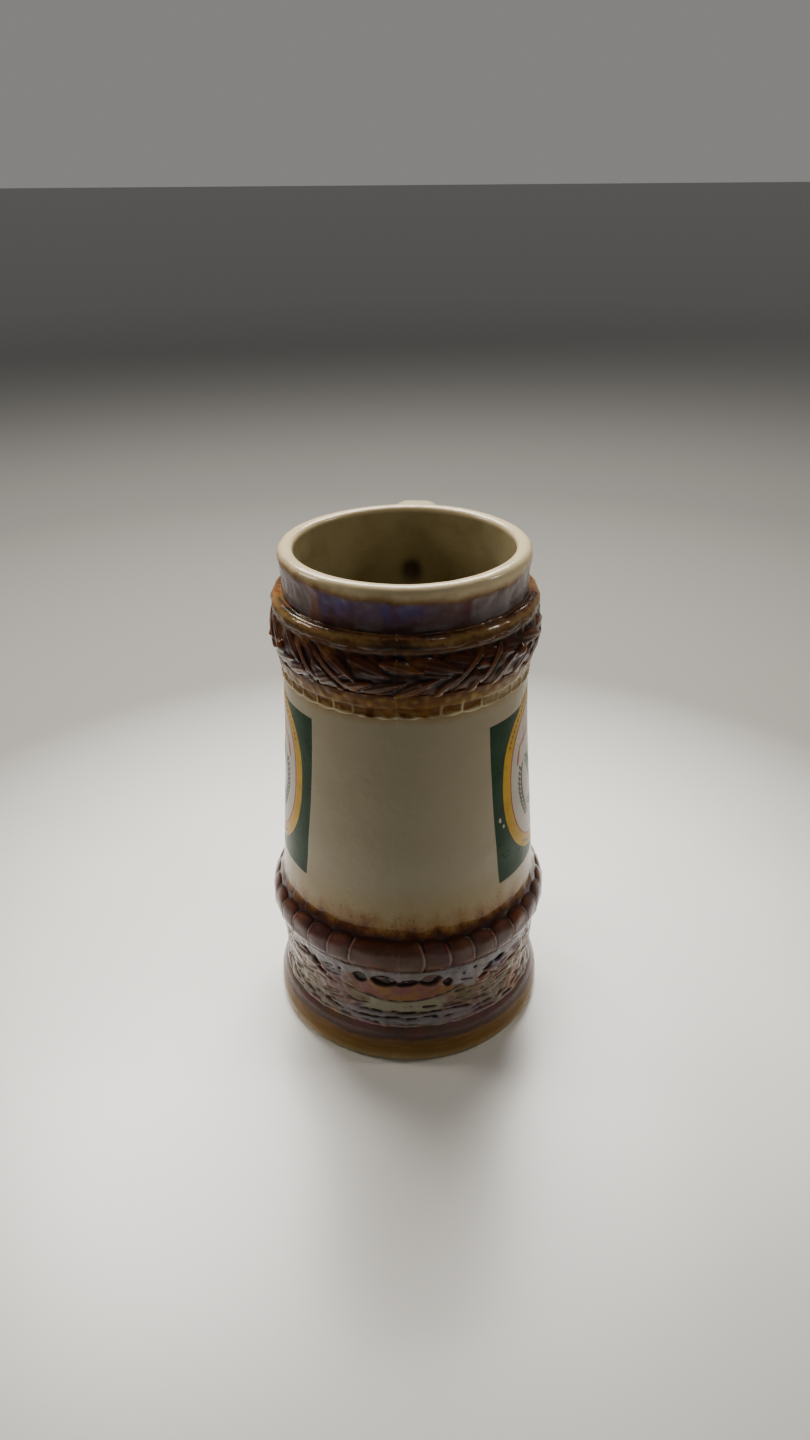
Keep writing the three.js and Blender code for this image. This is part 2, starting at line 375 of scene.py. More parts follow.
def lay_patches(s, sunk):
    """Painted grey sheen, amber and rose, olive, wash, honey, dark pools of glaze with painted shade, rust
    runs and a painted blue sheen.
    """
    open_face = s.less(1.0, s.between(sunk, 0.05, 0.5))
    cloud = s.plus(0.45, s.times(s.between(s.noise(4.5, 8, 4), 0.25, 0.6), 0.55))
    # Painted sheen: a grey-lavender reflection laid on the open faces.
    painted_sheen = s.times(s.attribute("painted_sheen"), open_face, cloud)
    s.cover(painted_sheen, s.mix(s.noise(7, 18, 2), (0.20, 0.20, 0.22), (0.26, 0.23, 0.215)))
    rose = s.mix(s.between(s.noise(8, 19, 2), 0.42, 0.6), (0.27, 0.125, 0.038), (0.22, 0.082, 0.068))
    s.cover(s.times(s.attribute("amber"), open_face), rose)
    olive = s.mix(s.noise(6, 20, 2), (0.25, 0.255, 0.17), (0.34, 0.31, 0.215))
    s.cover(s.times(s.attribute("olive"), open_face), olive)
    s.cover(s.attribute("wash"), (0.33, 0.25, 0.125))
    honey = s.mix(s.between(s.noise(3.5, 25, 3), 0.35, 0.65), (0.085, 0.026, 0.004), (0.215, 0.088, 0.014))
    s.cover(s.attribute("honey"), honey)
    # Dark patches: glaze pooled above the gadroon lobes, painted shade in the bow's hollows, and darker
    # patches on the wreath.
    pool_and_shade = s.mix(s.noise(3, 28, 2), (0.006, 0.004, 0.004), (0.034, 0.019, 0.014))
    s.cover(s.times(s.attribute("pool_and_shade"), 0.92), pool_and_shade)
    s.cover(s.times(s.attribute("rust"), 0.9), (0.17, 0.05, 0.008))
    # Painted blue sheen of the lustre glaze.
    s.cover(s.times(s.attribute("blue_sheen"), 0.75), (0.072, 0.062, 0.215))


def lay_lip_and_inside(s, height, cavity):
    """The cream lip, whose lower edge drips, and the inside, with painted shade deeper down and in the
    dimple.
    """
    drip = s.plus(s.sway(3.6, 13, 26, 2), s.sway(1.2, 2.5, 27, 3), s.attribute("thick"))
    edge = s.plus(height, drip)
    s.cover(s.between(edge, 160.2, 161.2), s.bands(edge, LIP))
    inner = s.mix(s.between(s.noise(9, 9, 3), 0.35, 0.7), (0.29, 0.245, 0.135), (0.24, 0.195, 0.095))
    # Painted shade: the inside darkens further down.
    inner = s.mix(s.between(height, 158.0, 110.0), inner, (0.10, 0.078, 0.032))
    inner = s.mix(s.between(height, 162.9, 164.3), inner, LIP_CREAM)
    # Painted shade in the dimple where the hollow handle opens into the cup.
    inner = s.mix(s.between(s.times(cavity, -1.0), 0.1, 1.3), inner, (0.045, 0.028, 0.014))
    s.cover(s.attribute("inside"), inner)


def glaze(name, depth=1.0, gloss=0.26):
    """The stein's glaze. Its colour follows height, and runs from pooled dark to thin and pale with cavity.

    Vertex attributes lay patches over it, such as painted sheen, amber, rust, a painted blue sheen, painted
    shade and the inside of the cup.
    """
    s = Shader(name)
    height = s.times(s.node("SeparateXYZ", {0: s.place}).outputs["Z"], 1 / MM)
    fringed = s.times(s.between(height, 53, 57), s.between(height, 72, 64))
    fray = s.plus(s.sway(5.0, 2.2, 2, 4, 1.6, 0.65), s.times(s.sway(9.0, 6, 33, 3, 1.5, 0.6), fringed))
    stray = s.times(s.plus(s.sway(5.0, 15, 1, 2), fray), s.bands(height, FADE))
    level = s.plus(height, stray, s.attribute("lift"))
    plain, pooled, thin = (s.bands(level, GLAZES, column) for column in (1, 2, 3))
    cavity = s.attribute("cavity")
    mottle = s.sway(0.45, 3.2, 3, 4)
    sunk = s.plus(s.times(cavity, -depth), mottle)
    raised = s.plus(s.times(cavity, depth), mottle)
    s.colour = s.mix(s.between(sunk, 0.04, 0.55), plain, pooled)
    s.cover(s.between(raised, 0.12, 0.75), thin)

    # Wheel streaks round the foot.
    streaks = s.times(s.between(s.noise(9, 29, 3, 0.10), 0.38, 0.66), s.between(height, 10.5, 7.5), 0.5)
    s.cover(streaks, (0.25, 0.148, 0.048))

    # Slow changes of hue where the dark glazes ran thick or thin.
    zone = s.bands(level, ZONE)
    s.cover(zone, s.mix(1.0, s.colour, s.ramp(s.noise(13, 5, 2), HUES), "MULTIPLY"))
    runs = s.times(s.between(s.noise(2.2, 7, 3, 6.0), 0.60, 0.74), zone, 0.35)
    s.cover(runs, (0.16, 0.055, 0.014))

    lay_patches(s, sunk)
    lay_lip_and_inside(s, height, cavity)

    # Iron specks, thick just above the gadroons and sparse on the rest of the cream.
    specks = s.less(s.noise(1.0, 11, 3), s.less(0.93, s.times(s.bands(level, SPECKS), 0.42)))
    specks = s.times(s.between(specks, 0.0, 0.07), 0.6)
    s.cover(specks, s.mix(1.0, s.colour, (0.45, 0.24, 0.06), "MULTIPLY"))

    crease = s.times(s.between(height, 151.3, 151.9), s.between(height, 155.0, 152.5), 0.22)
    rough = s.plus(0.12, s.times(s.noise(6, 12, 3), 0.14), crease)
    shine = s.times(gloss, s.plus(0.2, s.times(s.between(height, 6, 11), 0.8)))
    bumps = [(s.noise(5.5, 15, 2), 0.16), (s.noise(1.3, 16, 3), 0.04)]
    return s.finish(s.colour, rough, bumps, coat=0.03, specular=shine)


def ink(name, colour, mottle=0.12):
    """A fired transfer colour under a thin gloss."""
    s = Shader(name)
    dark = tuple(c * (1 - mottle * 2) for c in colour)
    shade = s.mix(s.between(s.noise(6, 21, 3), 0.3, 0.7), dark, colour)
    shade = s.mix(s.times(s.between(s.noise(0.7, 22, 2), 0.66, 0.74), 0.35), shade, dark)
    rough = s.plus(0.24, s.times(s.noise(4, 23, 2), 0.1))
    return s.finish(shade, rough, [(s.noise(5.5, 15, 2), 0.12), (s.noise(0.8, 24, 2), 0.02)], specular=0.07)


# ---- Cup ----

DIMPLE_HEIGHT = 143.0  # where the hollow handle opens into the back of the cup


def neck_paint(angle, height, outside):
    """Painted sheen, pale on the right of the neck and mauve on the left, with rust runs and a painted blue
    sheen.
    """
    turn = np.degrees(angle)
    neck = span(height, 151.4, 161.5, 0.8, 1.5) * outside
    # Painted sheen: pale on the right, mauve on the left, patches at the back and along the foot of the neck.
    painted_sheen = 0.62 * span(turn, 33, 84, 1.2, 10) + 0.38 * span(turn, -95, -33, 20, 9)
    painted_sheen = painted_sheen + 0.5 * ease((10 - np.abs(turn - 150)) / 8) + 0.5 * ease((16 - np.abs(turn + 140)) / 12)
    painted_sheen = painted_sheen + 0.22 * ease(ripple(angle, height, 18, 61, 3) - 0.2)
    under = 0.55 * peak(height - 152.6, 0.9) * ease(ripple(angle, height, 14, 62) + 0.2)
    painted_sheen = np.maximum(painted_sheen, under) * neck
    rust = 0
    for at, wide in ((-39, 2.6), (100, 2.5), (-112, 2.0), (161, 1.5)):
        rust = np.maximum(rust, peak(turn - at - 0.06 * (height - 156), wide))
    rust = rust * neck * ease((160.5 - height) / 2)
    # Painted blue sheen of the lustre, in soft spots round the neck.
    sheen_spots = ((1, 4, 11), (0.6, -24, 9), (0.7, 128, 14), (0.6, -75, 12))
    blue_sheen = sum(share * peak(turn - at, wide) for share, at, wide in sheen_spots)
    blue_sheen = blue_sheen * peak(height - 158.6, 2.2) * (0.75 + 0.25 * ripple(angle, height, 6, 63, 4))
    # More painted blue sheen across the front of the neck.
    front_sheen = 0.30 * span(turn, -46, 19, 12, 8) * ease((height - 152.5) / 3)
    front_sheen = front_sheen * (1 + 0.5 * ripple(angle, height, 5, 67, 6))
    maroon = span(turn, 18, 33.2, 4, 0.8)
    return {"painted_sheen": painted_sheen, "rust": rust, "blue_sheen": np.clip(blue_sheen + front_sheen, 0, 1) * (1 - maroon) * neck}


def cup_layers(angle, height, inner, dimple):
    """The cup's vertex attributes. cavity is below 0 where glaze pools and above 0 where it thins; on the
    bead's front it is partly painted shade, and inside the cup it marks the dimple's painted shade.
    """
    turn = np.degrees(angle)
    bead = span(height, 146, 151.2, 1.5, 1)
    # The bead is darker towards the front in the pooled-glaze colour: pooled glaze at the seam, painted shade
    # over the shaded front.
    pooled = 0.7 * peak(turn, 3.5) + 0.42 * peak(turn, 20) + 0.12 * ripple(angle, 6 * height, 22, 65)
    crease = (0.40 + 0.25 * ripple(angle, height, 12, 64)) * peak(height - 151.5, 0.35)
    line = 0.12 * peak(np.abs(angle) * MEAN_R, 0.3) * (seam(angle, height) > 0.05)
    thick = 0.8 + 0.5 * peak(turn - 38, 24) - 2.5 * peak(turn + 60, 30)
    thick = thick + 0.6 * np.sin(np.radians(turn * 3 + 40)) * (np.abs(turn) > 70)
    # The dimple's share of cavity is painted shade inside the cup.
    layers = {"cavity": (line - crease - pooled * bead) * ~inner - 1.35 * dimple, "thick": thick,
              "inside": inner * 1.0, "lift": fringe(angle, height) * ~inner}
    return {**layers, **neck_paint(angle, height, ~inner)}


def make_cup():
    parts = ((FOOT, 1.1), (ROLL, 0.5), (WALL, 1.0), (BEAD, 0.5), (NECK, 0.9))
    profile = np.vstack([spline(points, step) for points, step in parts])
    radius, height = profile[:, 0], profile[:, 1]
    inner = np.arange(len(profile)) > np.argmax(height) + 2
    fine = np.radians([0.25, 0.5, 0.8, 1.2, 1.8])  # closer columns beside the front and back seams
    even = np.linspace(-math.pi, math.pi, 300, endpoint=False)
    angle = np.concatenate([even, fine, -fine, math.pi - fine, fine - math.pi])
    angle = np.unique(angle.round(6))[:, None]
    uneven = 0.10 * ripple(angle, height, 9, 7, 2.5) + 0.05 * ripple(angle, height, 4, 8)
    stray = hand_made(angle, height) + uneven * ease((height - BEAD_LOW) / 1.5)
    stray = stray * (1 - 0.6 * ease((height - 160) / 3)) + seam(angle, height)
    away = np.hypot((np.abs(angle) - math.pi) * INSIDE_R, 0.8 * (height - DIMPLE_HEIGHT))
    dimple = ease((6.4 - away) / 6.0) * inner
    stray = np.where(inner, 0.4 * hand_made(angle, height) + 0.9 * dimple, stray)
    stray = stray * ease((radius - 2) / 20) * ease((height + 0.01) / 1.2 + (radius < 44) * (height < 8))
    stray[:, height < 0.02] = 0
    points = on_cup(radius + stray, angle, np.maximum(height, 0))
    points[..., 2] += 0.12 * ripple(angle, height, 60, 9) * ease((height - 158) / 6) * MM

    # The first and last rings lie on the axis, so each becomes one point.
    columns, rows = points.shape[0], points.shape[1] - 2
    faces = grid_faces(columns, rows, True, False)
    bottom = columns * rows
    for c in range(columns):
        here, there = c * rows, (c + 1) % columns * rows
        faces += [[bottom, there, here], [bottom + 1, here + rows - 1, there + rows - 1]]
    verts = np.vstack([points[:, 1:-1].reshape(-1, 3), points[0, 0], points[0, -1]])
    layers = cup_layers(angle, height, inner, dimple)
    for key, values in layers.items():
        values = values + np.zeros(points.shape[:2])
        layers[key] = np.append(values[:, 1:-1], [values[0, 0], values[0, -1]])
    new_piece("stein_cup", verts, faces, [glaze("cup_glaze")], "body", layers)


# ---- Relief bands ----


def relief_band(
    name, low, high, columns, rows, relief, paint, node, slot,
    depth=1.0, broad=1.3, gain=1.6, gloss=0.26, settle=0,
):
    """A closed ring bedded 0.3 mm into the wall. relief gives its height over the wall in mm."""
    angle = np.linspace(-math.pi, math.pi, columns, endpoint=False)[:, None]
    height = np.linspace(low, high, rows + 1)[None, :]
    rise = relief(angle, height)
    around, up = TAU * MEAN_R / columns, (high - low) / rows

    def over(size):
        """How far the relief stands over its mean within about size mm."""
        return rise - blur(rise, size / around, size / up)

    cavity = gain * over(broad) + 1.5 * over(0.45) + 0.22 * peak(angle * MEAN_R, 0.3)
    if settle:  # the glaze evens out over this many mm, up to where the ring dips into the wall
        cavity = cavity * ease((high - 1.8 - height) / settle)
    rise = rise + hand_made(angle, height) + seam(angle, height)
    back = np.linspace(high, low, 8)[None, :]
    points = [on_cup(wall(height) + rise, angle, height), on_cup(wall(back) - 0.3, angle, back)]
    points = np.concatenate(points, axis=1)
    hidden = np.zeros((columns, back.shape[1]))
    layers = {"cavity": cavity, **paint(angle, height)}
    layers = {key: np.concatenate([value + 0 * cavity, hidden], axis=1) for key, value in layers.items()}
    faces = grid_faces(columns, points.shape[1], True, True)
    new_piece(name, points, faces, [glaze(name + "_glaze", depth, gloss)], node, layers)


def spot(angle, height, radius, x, z, tilt, reach=9.0):
    """The part of a grid within reach of a point, and mm along and across a line tilted through that point.

    x is mm round the cup from the front, at radius.
    """
    turn = (angle[:, 0] - x / radius + math.pi) % TAU - math.pi
    close, near = np.abs(turn * radius) < reach, np.abs(height[0] - z) < reach
    along, up = turn[close][:, None] * radius, (height[0, near] - z)[None, :]
    a = along * math.cos(tilt) + up * math.sin(tilt)
    b = up * math.cos(tilt) - along * math.sin(tilt)
    return np.ix_(close, near), a, b


NOTHING = -9  # lower than any ground, so a shape leaves no mark outside its outline


def leaf(length, width, lift):
    """A pointed leaf with a raised midrib. Its tip, at the high end of along, stands clear of its base."""

    def shape(a, b):
        t = np.clip(a / (length / 2), -1, 1)
        b = b - 0.09 * width * (1 - t * t)
        half = width / 2 * (1 - t * t) ** 0.8 * (1 - 0.25 * t) + 1e-6
        across = np.abs(b) / half
        dome = lift * (0.70 + 0.30 * np.sqrt(np.clip(1 - across**2, 0, 1))) * (0.82 + 0.18 * t)
        edge = 0.18 * peak(across - 0.85, 0.14)
        rib = 0.15 * peak(b, 0.26) - 0.12 * peak(np.abs(b) - 0.65, 0.32)
        return np.where((across < 1) & (np.abs(a) < length / 2), dome + rib + edge, NOTHING)

    return shape


def berry(radius, lift):
    def shape(a, b):
        dome = lift + 0.75 * np.sqrt(np.clip(radius**2 - a * a - b * b, 0, None))
        return np.where(np.hypot(a, b) < radius, dome, NOTHING)

    return shape


def ribbon(length, wide):
    """Two raised cords with a groove between, sinking into the ground at both ends."""

    def shape(a, b):
        taper = np.clip(1 - (2 * a / length) ** 2, 0, 1) ** 0.5
        spread = wide * (0.55 + 0.45 * taper)
        cords = 0.55 * peak(np.abs(b) - spread * 0.62, 0.28) - 0.20 * peak(b, 0.3)
        return np.where((np.abs(b) < spread * 1.15) & (taper > 0), (1.5 + cords) * taper, NOTHING)

    return shape


WREATH_R = 41.5
WREATH = (131.7, 148.3)


def wreath(angle, height):
    """Laurel leaves in an upper and a lower row, berries, and crossing ribbons in mirrored pairs."""
    rng = np.random.default_rng(11)
    share = (height - WREATH[0]) / (WREATH[1] - WREATH[0])
    field = np.sin(math.pi * np.clip(share * 1.04 - 0.02, 0, 1)) ** 0.35 + 0.10 * ripple(angle, height, 5, 12)
    lap = TAU * WREATH_R

    def lay(x, z, tilt, shape):
        area, a, b = spot(angle, height, WREATH_R, x, z, tilt)
        field[area] = np.maximum(field[area], shape(a, b))

    def strew(x, z, tilt, spread, *sizes):
        """A leaf at x and z, give or take the spread, with its length, width and lift each within a range."""
        x, z, tilt = (value + rng.uniform(-off, off) for value, off in zip((x, z, tilt), spread))
        lay(x, z, tilt, leaf(*(rng.uniform(*size) for size in sizes)))

    def trench(x, z, tilt, length, width, deep):
        """A long hollow that tapers to both ends."""
        area, a, b = spot(angle, height, WREATH_R, x, z, tilt, length / 2 + 1)
        field[area] -= deep * ease(1.2 * (1 - (2 * a / length) ** 2)) * peak(2 * b / width, 0.8)

    count = 27
    for i in range(count):
        x = (i + 0.2) * lap / count
        lean = math.sin(2 * TAU * x / lap)  # which way the leaves lean, mirrored about the seam and the sides
        upper, lower = -0.22 + min(0.0, lean) * 0.50, 0.30 + max(0.0, lean) * 0.42
        strew(x, 142.6, upper, (0.8, 0.6, 0.1), (12.5, 17), (3.3, 4.3), (1.5, 2.25))
        strew(x + 4.4, 136.2, lower, (0.8, 0.5, 0.08), (12, 16), (3.1, 4.2), (1.5, 2.25))
        if i % 3 == 1:
            strew(x, 139.6, 0, (1, 0.5, 0.25), (7, 9), (2.6, 3.2), (1.5, 1.8))
    for turn in (-1, 1):
        for centre in (0, lap / 2):
            for out, z, tilt, length in ((20.5, 140.0, 0.74, 18.5), (29.5, 140.2, 0.98, 14.5)):
                x = centre + turn * out
                trench(x - turn * 0.9, z - 1.7, turn * tilt, length, 2.2, 1.5)
                lay(x, z, turn * tilt, ribbon(length, 0.85))
            lay(centre + turn * 42, 140.6, 0, berry(2.1, 1.0))
    for _ in range(9):
        lay(rng.uniform(0, lap), rng.uniform(136, 144), 0, berry(rng.uniform(0.55, 0.75), 1.3))
    field = blur(field, 1.6, 1.3)
    edge = ease(share / 0.05)
    meet = ease((height - 145.6) / 1.8)  # the top runs up into the bead
    return (field * edge - 0.35 * (1 - edge)) * (1 - meet) + 1.05 * meet


def wreath_paint(angle, height):
    turn = np.degrees(angle)
    # Painted sheen low on the left of the wreath.
    painted_sheen = 0.30 * ease((136.5 - height) / 3) * span(turn, -75, -22, 15, 10)
    # Darker patches round the front of the wreath and, at random, at the sides.
    dark = 0.62 * peak(turn + 3, 10) * peak(height - 138.6, 3.2)
    dark = dark + 0.6 * peak(turn - 23, 7) * peak(height - 140, 3.6)
    dark = dark + 0.55 * ease(ripple(angle, height, 14, 68) - 0.7) * ease((np.abs(turn) - 40) / 10)
    gold = 0.5 * ease(ripple(angle, height, 9, 66) - 0.4) * ease((height - 141.5) / 2)
    return {"painted_sheen": painted_sheen, "pool_and_shade": np.clip(dark, 0, 0.7), "honey": gold * (1 - np.clip(dark, 0, 1))}


def dentil(angle, height):
    """A strip with a row of sunk cells along its foot. Glaze fills those at the front."""
    cells = 38
    half = math.pi * 39.0 / cells
    phase = (angle / TAU * cells + 0.02 * ripple(angle, height, 20, 32)) % 1
    off = np.abs(phase - 0.5) * 2 * half  # mm from the cell's middle
    filled = ease((np.radians(18.5) - np.abs(angle + 0.02)) / 0.06)
    side = np.maximum(ease((half - off - 0.16) / 0.42), 0.8 * filled)
    sill = ease((height - 125.95 - 0.12 * ripple(angle, height, 4, 34)) / 0.6) * ease((129.2 - height) / 0.5)
    step = ease((height - 124.8 - 0.45 * (off / half) ** 2) / 0.7)
    slope = ease((height - 129.0) / 3.4)
    field = step * (0.62 + 0.25 * slope + 0.05 * ripple(angle, height, 4, 31)) - 0.46 * side * sill
    return blur(field, 1.4, 1.2) - 0.3 * (1 - step)


def dentil_paint(angle, height):
    turn = np.degrees(angle)
    front = ease((26 - np.abs(turn)) / 8) * span(height, 124.8, 133, 1, 3)
    wash = 0.75 * span(turn, 34, 120, 12, 30) + 0.6 * ease(ripple(angle, height, 60, 36) - 0.6)
    wash = wash * span(height, 124.8, 130.6, 0.8, 2) * ease((np.abs(turn) - 24) / 8)
    honey = 0.85 * front * (0.8 + 0.3 * ripple(angle, height, 5, 35))
    return {"honey": np.clip(honey, 0, 1), "wash": np.clip(0.7 * wash, 0, 1)}


LOBE = math.radians(360 / 35)
LOBE_R = 43.5
GADROON = (36.2, 54.2)


def lobes(angle, height):
    """The lobes' height share, crown, swell, the ridge and groove at their edges, and the share across."""
    t = (height - 42.7) / 7.1
    away = np.abs(angle)
    bulge = math.radians(4.4) * (1 - np.sqrt(np.clip(1 - np.clip(np.abs(t * 0.94), 0, 1) ** 2, 0, 1)))
    place = (away + bulge) / LOBE
    place = np.where((angle < 0) & (place < 2), place / 2, place)  # the lobe left of the seam is double
    u = place - np.floor(place)
    first = place < 1
    wide = LOBE * LOBE_R * np.where((angle < 0) & first, 2.0, 1.0)
    round_off = 0.50 + 0.50 * np.sqrt(np.clip(1 - (1 - u / 0.75) ** 2, 0, 1))
    swell = np.where(u < 0.75, round_off, 1 - 0.12 * ((u - 0.75) / 0.25) ** 2)
    swell = np.where(first, 0.93 + 0.07 * np.sin(math.pi * u), swell)
    groove = 0.17 * peak(u * wide - 0.35, 0.42) * (~first | (u > 0.5))
    edge = 0.34 * peak((1 - u) * wide - 0.35, 0.26) - groove
    scallop = 0.20 * (2 * u - 1) ** 2 * np.where(first, 0.4, 1.0)
    top = t + np.where(t > 0, scallop, scallop * 0.35)
    return t, top, np.clip(1 - np.abs(top) ** 2.4, 0, 1) ** 0.6, swell, edge, u


def fringe(angle, height):
    """How many mm lower the glaze colours sit over each lobe, and higher between lobes."""
    hump = np.sin(math.pi * lobes(angle, height)[5]) ** 0.7
    return (2.3 * hump - 1.1 + 0.5 * ripple(angle, height, 10, 45)) * span(height, 48, 64, 3, 7)


def gadroon(angle, height):
    """Overlapping lobes like knuckles, each with a fine raised edge on the side away from the front."""
    t, _, crown, swell, edge, _ = lobes(angle, height)
    shoulder = 1.75 * ease((GADROON[1] + 0.1 - height) / 9.8) * ease((t + 1.0) / 0.8)
    knuckle = 0.45 * (swell - 0.5) * peak(height - 50.6, 2.0)
    field = shoulder + knuckle + 1.30 * crown * (0.25 + 0.75 * swell) + edge * ease(crown * 1.6)
    field = field + 0.06 * ripple(angle, height, 6, 41) - 0.4 * ease((-t - 0.98) / 0.1)
    return blur(field, 0.75, 0.75) - 0.15 - 0.35 * ease((height - GADROON[1] + 0.8) / 0.8)


def gadroon_paint(angle, height):
    top = lobes(angle, height)[1]
    arcs = ease((top - 0.84) / 0.12) * ease((1.30 + 0.05 * ripple(angle, height, 3, 43) - top) / 0.22)
    # Painted sheen in patches over the lower lobes.
    painted_sheen = 0.22 * ease((ripple(angle, height, 22, 42) + 0.4) / 2) * span(height, 37, 47, 2, 4)
    # Only glaze pooled above the lobes' tops here, with no painted shade.
    pool_and_shade = 0.45 * arcs * (0.8 + 0.25 * ripple(angle, height, 9, 44))
    return {"painted_sheen": painted_sheen, "pool_and_shade": pool_and_shade, "lift": fringe(angle, height)}


FRIEZE = (12.9, 37.6)
FRIEZE_R = 42.5
FRIEZE_DIP = 0.011  # how fast the contour under the bow's panel rises towards the sides
# The bow under the front lobes: place round the cup, height, length, width, tilt and depth of each hollow.
BOW = [
    (-12.8, 33.0, 5.4, 4.2, -0.15, 0.8),
    (-4.9, 32.8, 9.2, 4.7, -0.08, 1.35),
    (2.5, 32.4, 8.2, 2.7, 0.24, 1.1),
    (9.5, 33.3, 7.8, 4.7, 0.18, 1.4),
    (15.1, 31.4, 3.5, 3.7, 0.0, 1.15),
]


def hollows(angle, height, spots, soft):
    """How deep some pointed oval hollows are at each point. spots is a list like BOW."""
    depth = 0 * angle * height
    for x, z, length, width, tilt, deep in spots:
        area, a, b = spot(angle, height, FRIEZE_R, x, z, tilt)
        far = np.abs(b) / (width / 2) + (a / (length / 2)) ** 2
        depth[area] = np.maximum(depth[area], deep * ease((1.15 - far) / soft))
    return depth


def frieze_pits():
    """Rows of long pits, low down all the way round and higher at the sides, and some placed one by one."""
    rng = np.random.default_rng(52)
    pits = []
    lap = TAU * FRIEZE_R
    for z in np.arange(14.8, 34.6, 1.55):
        at = rng.uniform(0, 5)
        while at < lap:
            length = rng.uniform(5.5, 12.5)
            side = abs((at / FRIEZE_R + math.pi) % TAU - math.pi) * FRIEZE_R
            clear = z > 18.4 and side < 14 + max(0.0, z - 20) * 0.75
            if not clear and rng.random() < 0.86:
                off, width = rng.uniform(-0.35, 0.35), rng.uniform(0.6, 1.15)
                pits.append((at, z + off, length, width, rng.normal(0, 0.13), rng.uniform(0.28, 0.62)))
            at += length * rng.uniform(0.82, 1.1) + 0.5
    pits += [(at, z, 1.2, 1.3, 0, 0.8) for at, z in ((20.5, 33.4), (24.5, 34.6), (-20, 33.9))]
    # Deep hollows at either side of the bow.
    for turn in (-1, 1):
        for at, z, length, width, tilt in (
            (30, 31.5, 5.5, 3.0, 0.6), (34.5, 33.2, 5.0, 2.6, 0.3), (28, 28.8, 5.0, 1.8, 0.2),
        ):
            pits.append((turn * at, z, length, width, turn * tilt, 1.2))
    for at in (62, 98, 118, 150, 172):
        pits += [(at + 10, 31.5, 6.5, 3.4, 0.15, 1.1), (-at - 4, 32.5, 6.5, 3.2, -0.1, 1.1)]
    return pits + [(9.5, 21.0, 6.0, 1.6, 0.02, 0.7), (-16.5, 21.6, 5.0, 1.4, -0.1, 0.7)]


def frieze(angle, height):
    """A rough ground with pits and the bow. A contour and two level lines cross its calm front."""
    x = angle * FRIEZE_R
    field = 1.25 + 0.10 * ripple(angle, height, 7, 53) + 0.06 * ripple(angle, height, 2.6, 54)
    field -= np.maximum(hollows(angle, height, frieze_pits(), 0.55), hollows(angle, height, BOW, 0.6))
    field -= ease((22 - np.abs(x)) / 5) * 0.40 * peak(height - 24.2 - FRIEZE_DIP * x**2, 0.36)
    lines = 0.35 * peak(height - 18.6, 0.34) + 0.40 * peak(height - 16.6 - 0.05 * x, 0.3)
    lines = lines - 0.3 * peak(height - 17.6, 0.4)
    field -= ease((16.5 - np.abs(x)) / 4) * lines
    above = height - FRIEZE[0]
    return blur(field, 0.95, 0.8) * ease(above + 0.35) - 0.5 * (1 - ease(above / 0.8))


def frieze_paint(angle, height):
    x = angle * FRIEZE_R
    stray = 1.2 * ripple(angle, height, 9, 55)
    dip = FRIEZE_DIP * x**2
    # Painted sheen: a band along the top, the low level lines and patches on both sides, joined below.
    band = ease((height - 33.0 + 0.10 * stray) / 1.6) * ease(37.6 - height)
    right = ease((height - 27.5 - stray) / 3) * span(x, 13, 34, 4, 10)
    left = 0.7 * ease((height - 29.5 - stray) / 3) * span(x, -36, -15, 10, 4)
    low_lines = 0.95 * span(height, 14, 18.6, 0.8, 1) * ease((26 - np.abs(x + stray)) / 8)
    band = band * (0.95 - 0.30 * ease((np.abs(x) - 40) / 15))
    painted_sheen = np.maximum(np.maximum(band, low_lines), np.maximum(right, left))
    amber = ease((17.5 - np.abs(x) + 0.6 * stray) / 5) * ease((height - 24.3 - dip) / 0.8)
    amber = amber * ease((33.6 - height + 0.2 * stray) / 1.4)
    far = np.abs((angle - 2.2 + math.pi) % TAU - math.pi)
    amber = np.maximum(amber, 0.6 * ease((0.5 - far) / 0.3) * span(height, 22, 32, 2, 2))
    olive = ease((15.5 - np.abs(x) + stray) / 4) * span(height - dip, 18.8 - dip, 24.0, 0.8, 0.6)
    # Glaze pooled in the bow's hollows, with painted shade over their lower walls, which the lamps light.
    floors = [(at, z, length * 1.04, width * 1.04, tilt, 1.0) for at, z, length, width, tilt, _ in BOW]
    pool_and_shade = hollows(angle, height, floors, 0.3)
    return {"painted_sheen": painted_sheen, "amber": 0.9 * amber, "olive": 0.85 * olive, "pool_and_shade": pool_and_shade}


# ---- Handle ----

# Distance behind the axis and height, from the upper root over the arch to the lower root.
HANDLE_LINE = [
    (38.6, 139.6), (42, 141.5), (51, 148.4), (61, 152.6), (70.5, 149.5), (77, 140), (79.5, 126), (78, 108),
    (71, 88), (58, 72.5), (46, 66.9), (39.6, 65.6),
]
HANDLE_WIDE, HANDLE_THICK = 8.9, 5.6  # half sizes of its section


